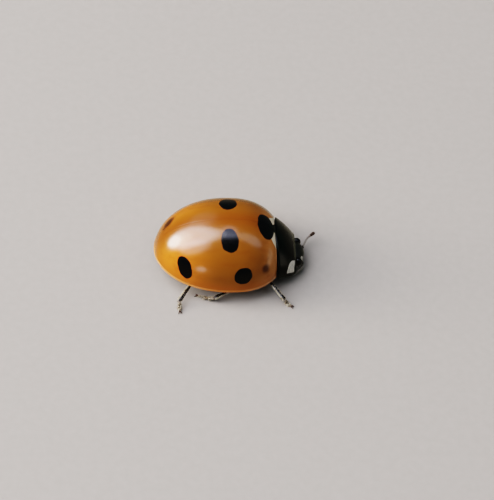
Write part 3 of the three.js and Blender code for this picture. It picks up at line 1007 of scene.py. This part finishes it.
def feeler_mesh(path):
    bm = bmesh.new()
    share_layer = bm.verts.layers.float.new("share")
    length = sum((b - a).length for a, b in zip(path, path[1:]))
    total = sum(joint[0] for joint in FEELER_JOINTS)
    done = 0.0
    for share, near, far in FEELER_JOINTS:
        start = walk(path, done / total * length)
        end = walk(path, (done + share) / total * length)
        overlap = (end - start).normalized() * 0.012
        keys = [(0, near), (0.3, near * 1.02), (0.85, far), (1, far * 0.8)]
        add_limb(bm, start - overlap, end + overlap, keys, layer=share_layer,
                 value=(done + share / 2) / total, rings=9, blunt=0.7)
        done += share
    return bm


feeler_material = clouded_finish(
    "brown_feeler_cuticle", ("#8A8276", "#A9A195"), clouds=(0.08, 3.0), span=(0.3, 0.8),
    relief=(grain, 0.02), rough=(0.2, 0.35), depth=0.002, wax=0.15, wax_roughness=0.3,
    bands=[("share", 0.68, 0.8, "#4A3626"), ("share", 0.2, 0.1, "#1A1411")])
for side_name, path in FEELER_PATHS.items():
    finish_piece(feeler_mesh([Vector(point) for point in path]), f"feeler_{side_name}", feeler_material,
                 [f"antenna_{side_name}"])

# %% [markdown]
# ## The legs
# Each leg has a hip joint, a small ring, a swollen thigh, a shin that widens towards two spurs,
# and a foot of padded joints with two claws. The wide way of its rings lies in the leg's own
# plane. One skin covers the leg; the claws are horn of their own.

# %% Stance of the legs
# The places of each leg's hip, knee, ankle and toe.
LEGS = {
    "right_front": [(2.4, -0.62, 0.5), (2.15, -1.75, 0.58), (2.88, -2.68, 0.34), (3.2, -2.86, 0.03)],
    "right_middle": [(1.42, -0.86, 0.42), (0.5, -2.05, 0.52), (-0.72, -2.62, 0.36), (-1.52, -2.3, 0.03)],
    "right_hind": [(0.1, -1.0, 0.42), (-1.72, -1.62, 0.5), (-2.5, -2.82, 0.34), (-2.47, -3.22, 0.03)],
    "left_front": [(2.4, 0.62, 0.5), (2.05, 1.55, 0.58), (2.35, 2.18, 0.36), (2.55, 2.5, 0.03)],
    "left_middle": [(1.42, 0.86, 0.42), (0.9, 2.1, 0.52), (0.45, 2.95, 0.36), (0.2, 3.35, 0.03)],
    "left_hind": [(0.1, 1.0, 0.42), (-1.25, 1.72, 0.5), (-2.3, 2.1, 0.36), (-2.68, 2.3, 0.03)],
}
LEGS = {name: [Vector(place) for place in places] for name, places in LEGS.items()}
HIP_SIZE = (0.25, 0.34, 0.24)
THIGH = [(0, 0.1), (0.25, 0.165), (0.6, 0.185), (0.88, 0.135), (1, 0.11)]
THIGH_FLAT = 0.72
SHIN = [(0, 0.06), (0.15, 0.072), (0.6, 0.085), (0.93, 0.112), (1, 0.085)]
SHIN_FLAT = 0.75
SHIN_BOW = UP * 0.03


def foot_joints(leg):
    """Start, end, widths and flatness of the foot's joints, the last of which carries the claws."""
    ankle, toe = leg[2:]
    ground = Vector((toe.x, toe.y, 0))
    heel = ankle.lerp(ground, 0.38)
    heel.z = max(0.11, ankle.z * 0.42)
    pad = ankle.lerp(ground, 0.68)
    pad.z = 0.07
    claw_joint = pad - (pad - heel) * 0.2 + UP * 0.015
    return [
        (ankle, heel, [(0, 0.06), (0.8, 0.1), (1, 0.07)], 0.8),
        (heel, pad, [(0, 0.06), (0.75, 0.125), (1, 0.09)], 0.55),
        (claw_joint, ground + UP * 0.075, [(0, 0.04), (0.8, 0.052), (1, 0.045)], 0.9),
    ]


def leg_plane(leg):
    hip, knee, ankle, _ = leg
    normal = (knee - hip).cross(ankle - knee)
    return normal.normalized() if normal.length > 0.05 else UP


def leg_mesh(leg):
    bm = bmesh.new()
    share = bm.verts.layers.float.new("share")
    hip, knee, ankle, _ = leg
    plane = leg_plane(leg)
    socket = Matrix.Translation((hip.x, hip.y * 0.86, hip.z)) @ Matrix.Diagonal((*HIP_SIZE, 1))
    bmesh.ops.create_uvsphere(bm, u_segments=28, v_segments=20, radius=1, matrix=socket)
    below_hip = [hip.lerp(knee, along) for along in (0.02, 0.1, 0.16)]
    add_limb(bm, below_hip[0], below_hip[2], [(0, 0.13), (1, 0.13)], up=plane, flat=0.85)
    add_limb(bm, below_hip[1], knee, THIGH, 18, plane, share, 0.3, flat=THIGH_FLAT, rings=18)
    add_limb(bm, knee, ankle, SHIN, 16, plane, share, 0.6, flat=SHIN_FLAT, rings=18, bow=SHIN_BOW)
    for start, end, keys, flat in foot_joints(leg):
        add_limb(bm, start, end, keys, 12, UP, share, 0.9, flat=flat, rings=10)
    heading = (ankle - knee).normalized()
    for lean in (-0.07, 0.07):
        side = plane.cross(heading) * lean
        tip = ankle + heading * 0.13 + side * 1.4
        add_limb(bm, ankle + side * 0.6, tip, [(0, 0.022), (1, 0.006)], 7, UP, share, 1.0, rings=5)
    return bm


def claw_mesh(leg):
    bm = bmesh.new()
    ankle, toe = leg[2:]
    heading = math.atan2(toe.y - ankle.y, toe.x - ankle.x)
    root = Vector((toe.x, toe.y, 0.08))
    for side in (-1, 1):
        turn_to = heading + 0.5 * side
        away = Vector((math.cos(turn_to), math.sin(turn_to), 0))
        keys = [(0, 0.032), (0.35, 0.03), (0.8, 0.016), (1, 0.006)]
        add_limb(bm, root, root + away * 0.2 - UP * 0.07, keys, sides=10, bow=UP * 0.035)
        tooth = root + away * 0.07
        add_limb(bm, tooth, tooth + away * 0.04 - UP * 0.05, [(0, 0.02), (1, 0.006)], sides=7, rings=5)
    return bm


# %% Satin black leg cuticle, browner at the feet
leg_material = clouded_finish(
    "satin_black_leg_cuticle", ("#0E0C0B", "#261D16"), clouds=(0.12, 4.0), span=(0.4, 0.85),
    relief=(pitted, 0.045, (0.1, 0.5)), rough=(0.15, 0.2), depth=0.0018, wax=0.7, wax_roughness=0.14,
    bands=[("share", 0.7, 1.0, "#80735F")])
claw_material = horn_finish("brown_claw_horn", "#2A1509", "#6A3A18")
for leg_name, leg in LEGS.items():
    nodes = [f"{part}_{leg_name}" for part in ("coxa", "femur", "tibia", "tarsus")]
    finish_piece(leg_mesh(leg), f"leg_skin_{leg_name}", leg_material, nodes)
    finish_piece(claw_mesh(leg), f"claws_{leg_name}", claw_material)

# %% [markdown]
# ## Hairs
# Shins, feet, belly and mouth carry short pale hairs: three-sided spikes that bend towards the
# way they lie. There are thousands, so they are built from arrays. For the bake of colours every
# hair has a little patch of a map at its root's place.

# %% How hairs are built
BAKE_MAP = "OFBake"
BAKE_PATCH = 0.003
chance = random.Random(11)


def hair_piece(name, hairs):
    """hairs: (root, way out, way it ends, length, half thickness, (map u, map v))."""
    root, out, lie, length, thick, chart = (np.array(column) for column in zip(*hairs))
    length, thick = length[:, None], thick[:, None]
    out /= np.linalg.norm(out, axis=1, keepdims=True)
    lie /= np.linalg.norm(lie, axis=1, keepdims=True)
    side = np.cross(out, lie + np.array([0.013, 0.021, 0.017]))
    side /= np.linalg.norm(side, axis=1, keepdims=True)
    other = np.cross(out, side)
    rows = []
    for t, share in ((0.0, 1.0), (0.5, 0.75)):
        middle = root + length * (out * (t - t * t / 2) + lie * t * t / 2)
        for k in range(3):
            turn_by = 2 * math.pi * k / 3
            rows.append(middle + thick * share * (side * math.cos(turn_by) + other * math.sin(turn_by)))
    rows.append(root + length * (out * 0.5 + lie * 0.5))
    verts = np.stack(rows, axis=1).reshape(-1, 3)
    quads = [(k, (k + 1) % 3, 3 + (k + 1) % 3, 3 + k) for k in range(3)]
    tips = [(3 + k, 3 + (k + 1) % 3, 6) for k in range(3)]
    spike = [*quads, *tips, (2, 1, 0)]
    mesh = bpy.data.meshes.new(name)
    faces = [tuple(7 * i + k for k in face) for i in range(len(hairs)) for face in spike]
    mesh.from_pydata(((verts + np.array(SHIFT)) * MM).tolist(), [], faces)
    patch = np.array([(0, 0), (1, 0), (0, 1), (0.2, 0.5), (0.8, 0.5), (0.5, 0.8), (0.5, 1)]) * BAKE_PATCH
    corner_verts = np.zeros(len(mesh.loops), int)
    mesh.loops.foreach_get("vertex_index", corner_verts)
    places = chart[corner_verts // 7] + patch[corner_verts % 7]
    bake_map = mesh.uv_layers.new(name=BAKE_MAP)
    bake_map.data.foreach_set("uv", places.astype(np.float32).ravel())
    ride_along(mesh, hair_material)


hair_material = clouded_finish(
    "pale_chitin_hair", ("#EBE3CC", "#C4B08C"), clouds=(0.2,), span=(0.3, 0.8),
    relief=(grain, 0.01), rough=(0.1, 0.35), depth=0.0003, wax=0.0)
print("width of a hair's patch of the map:", BAKE_PATCH)

# %% Hairs on the legs and the feet
def limb_hairs(start, end, keys, flat, plane, count, length, chart,
               span=(0.1, 0.97), arc=(0, 2 * math.pi), bow=Vector(), thick=0.0045):
    """Hairs spread over one length of a limb, leaning towards its far end."""
    along = (end - start).normalized()
    side = plane.cross(along).normalized()
    lift = along.cross(side)
    hairs = []
    for _ in range(count):
        share = chance.uniform(*span)
        turn_by = chance.uniform(*arc)
        out = side * math.cos(turn_by) + lift * math.sin(turn_by) * flat
        root = start.lerp(end, share) + bow * math.sin(math.pi * share) + out * swelling(keys, share) * 0.93
        way = (out.normalized() + along * chance.uniform(0.5, 0.9)).normalized()
        lie = (out.normalized() * 0.35 + along).normalized()
        size = length * chance.uniform(0.7, 1.25)
        if (root + (way + lie) * size / 2).z < thick * 2:
            continue
        place = (chart[0] + 0.06 * share, chart[1] + 0.12 * turn_by / (2 * math.pi))
        hairs.append((root, way, lie, size, thick, place))
    return hairs


def fringe_arc(leg, plane, rise):
    """The range of turns round the shin that faces away from the thigh, and upwards by a rise."""
    hip, knee, ankle, _ = leg
    along = (ankle - knee).normalized()
    back = hip - knee
    outer = (along * back.dot(along) - back).normalized() + UP * rise
    side = plane.cross(along).normalized()
    middle = math.atan2(outer.dot(along.cross(side)), outer.dot(side))
    return middle - 0.55, middle + 0.55


leg_hairs = []
for index, (leg_name, leg) in enumerate(LEGS.items()):
    plane = leg_plane(leg)
    rise = 0.9 if "hind" in leg_name else 0.0
    column = 0.02 + 0.16 * index
    hip, knee, ankle, _ = leg
    thigh = (hip.lerp(knee, 0.1), knee, THIGH, THIGH_FLAT, plane)
    shin = (knee, ankle, SHIN, SHIN_FLAT, plane)
    leg_hairs += limb_hairs(*thigh, 160, 0.07, (column, 0.05), span=(0.2, 0.95))
    leg_hairs += limb_hairs(*shin, 260, 0.09, (column, 0.25), bow=SHIN_BOW)
    leg_hairs += limb_hairs(*shin, 420, 0.085, (column, 0.25), span=(0.15, 0.98),
                            arc=fringe_arc(leg, plane, rise), bow=SHIN_BOW, thick=0.007)
    for row, joint in enumerate(foot_joints(leg)):
        leg_hairs += limb_hairs(*joint, UP, 130, 0.06, (column, 0.45 + 0.15 * row), thick=0.006)
hair_piece("leg_hairs", leg_hairs)

# %% Hairs on the belly and round the mouth
def belly_hairs(count):
    hairs = []
    while len(hairs) < count:
        x = chance.uniform(-3.0, 2.1)
        y = chance.uniform(-2.0, 2.0)
        room = egg_room(TRUNK, x, y)
        if room < 0.04:
            continue
        depth = math.sqrt(room)
        z = RIM_HEIGHT - TRUNK["down"] * depth - belly_lift(x, y) * min(1, depth * 4)
        out = (chance.uniform(-0.2, 0.1), chance.uniform(-0.15, 0.15), -0.55)
        chart = (0.02 + 0.95 * (x + 3.0) / 5.2, 0.02 + 0.95 * (y + 2.0) / 4.1)
        hairs.append(((x, y, z + 0.004), out, (-1, 0, -0.2), chance.uniform(0.05, 0.1), 0.0035, chart))
    return hairs


def face_hairs(count):
    hairs = []
    for _ in range(count):
        y = chance.uniform(-0.22, 0.22)
        root = (3.9 + 0.02 * chance.random(), y, 0.29 + 0.03 * chance.random())
        chart = (0.5 + y, 0.5 + 0.2 * chance.random())
        hairs.append((root, (0.5, y, -1), (0.1, 0, -1), chance.uniform(0.05, 0.09), 0.004, chart))
    return hairs


hair_piece("belly_hairs", belly_hairs(3200))
hair_piece("lip_hairs", face_hairs(60))

# %% [markdown]
# ## Floor and light
# The beetle stands on a pale floor. Soft lights over its tail and back are mirrored by the dome
# as one broad pale patch, and dimmer ones lie ahead and beside it, all hidden from the camera.

# %% Floor
def floor_finish():
    material = bpy.data.materials.new("pale_matt_paper")
    material.use_nodes = True
    tree = material.node_tree
    tree.nodes.clear()
    place = add_node(tree, "TexCoord").outputs["Object"]
    fibre = grain(place, 0.4 * MM, 4.0)
    colour = blend(fibre, "#ABA59C", "#B5AFA6")
    bump = add_node(tree, "Bump", {"Strength": 0.3, "Distance": 0.01 * MM, "Height": fibre})
    shader = add_node(tree, "BsdfPrincipled", {
        "Base Color": colour, "Roughness": 0.85, "Normal": bump.outputs[0], "Specular IOR Level": 0.2})
    add_node(tree, "OutputMaterial", {"Surface": shader.outputs[0]})
    return material


disc = bmesh.new()
bmesh.ops.create_circle(disc, cap_ends=True, segments=96, radius=1.5)
floor_mesh = bpy.data.meshes.new("floor")
disc.to_mesh(floor_mesh)
disc.free()
floor_mesh.materials.append(floor_finish())
floor = hang(floor_mesh)
floor.visible_glossy = False
print("floor:", floor.name)

# %% Soft lights
LAMP_DISTANCE = 300
LAMP_STEP = 6
FADING_EDGE = (1.14, 1.0, 0.86)
# (tilt to the head, tilt to the left, width, height, radiance, colour, turn), all angles in degrees.
LAMPS = {
    "softbox_over_the_tail": (-45.5, 2, 82, 44, 3.9, "#F0EEF8", -4),
    "bright_end_of_the_softbox": (-64, 7, 46, 31, 1.8, "#FFF4E8", -4),
    "brightest_end": (-72, 7, 28, 22, 7.0, "#FFF0DE", 0),
    "lobe_to_the_right": (-43, -24, 46, 30, 1.5, "#E4ECFF", 0),
    "faint_lobe_to_the_left": (-38, 31, 42, 20, 0.65, "#EAF0FF", 6),
    "faint_arm_to_the_left": (-24, 34, 30, 50, 0.35, "#EAF0FF", 0),
    "sky_overhead": (3, 4, 14, 30, 1.1, "#DCE0FF", 0),
    "faint_strip_ahead": (30, -9, 50, 20, 0.75, "#EAF0FF", -14),
    "faint_strip_at_the_head": (88, -22, 32, 15, 0.4, "#FFF2E4", -38),
    "small_side_light": (-37, -79, 14, 12, 1.6, "#EAF0FF", 0),
}


def across_angle(distance, degrees):
    """The width in metres that spans an angle at a distance in millimetres."""
    return 2 * distance * math.tan(math.radians(degrees / 2)) * MM


def soft_light(name, to_head, to_left, width, height, radiance, colour, turn_degrees):
    """Three elliptic lamps of different sizes, one behind the other, so that the edge fades."""
    tilt = math.radians(math.hypot(to_head, to_left))
    heading = math.atan2(to_left, to_head)
    way = Vector((math.sin(tilt) * math.cos(heading), math.sin(tilt) * math.sin(heading), math.cos(tilt)))
    side = Vector((0, 1, 0)).cross(way).normalized()
    facing = Matrix((side, way.cross(side), way)).transposed()
    facing = facing @ Matrix.Rotation(math.radians(turn_degrees), 3, "Z")
    for step, share in enumerate(FADING_EDGE):
        distance = LAMP_DISTANCE + LAMP_STEP * step
        data = bpy.data.lights.new(f"{name}_{step}", "AREA")
        data.shape = "ELLIPSE"
        data.size = across_angle(distance, width * share)
        data.size_y = across_angle(distance, height * share)
        data.energy = radiance / len(FADING_EDGE) * math.pi * math.pi / 4 * data.size * data.size_y
        data.color = linear(colour)[:3]
        lamp = hang(data)
        lamp.matrix_world = Matrix.Translation((SHIFT + TOP + way * distance) * MM) @ facing.to_4x4()
        lamp.visible_camera = False


for name, settings in LAMPS.items():
    soft_light(name, *settings)
print("lamps:", len(bpy.data.lights))

# %% Air and film
# The air is dim, and only a little lighter below the horizon, so that black parts stay black.
# The ground on the far side is paler, so that the dome's top edge mirrors it and stays light.
world = bpy.data.worlds.new("studio_air")
bpy.context.scene.world = world
world.use_nodes = True
sky = world.node_tree
direction = add_node(sky, "SeparateXYZ", {0: add_node(sky, "TexCoord").outputs["Generated"]}).outputs
far_ground = ease(direction[2], -0.3, -0.6, ease(direction[1], 0.25, 0.5))
below = blend(far_ground, "#5E5A52", "#8E887D")
shade = blend(ease(direction[2], -0.15, 0.1), below, "#444A4A")
sky.links.new(shade, sky.nodes["Background"].inputs["Color"])
# A film-like response keeps bright reflections from turning orange.
film = bpy.context.scene.view_settings
film.view_transform = "Filmic"
film.look = "Very High Contrast"
film.exposure = 0.2
print("nodes of the air:", len(sky.nodes))


print("pieces:", len(scene_pieces), "faces:", sum(scene_pieces.values()))
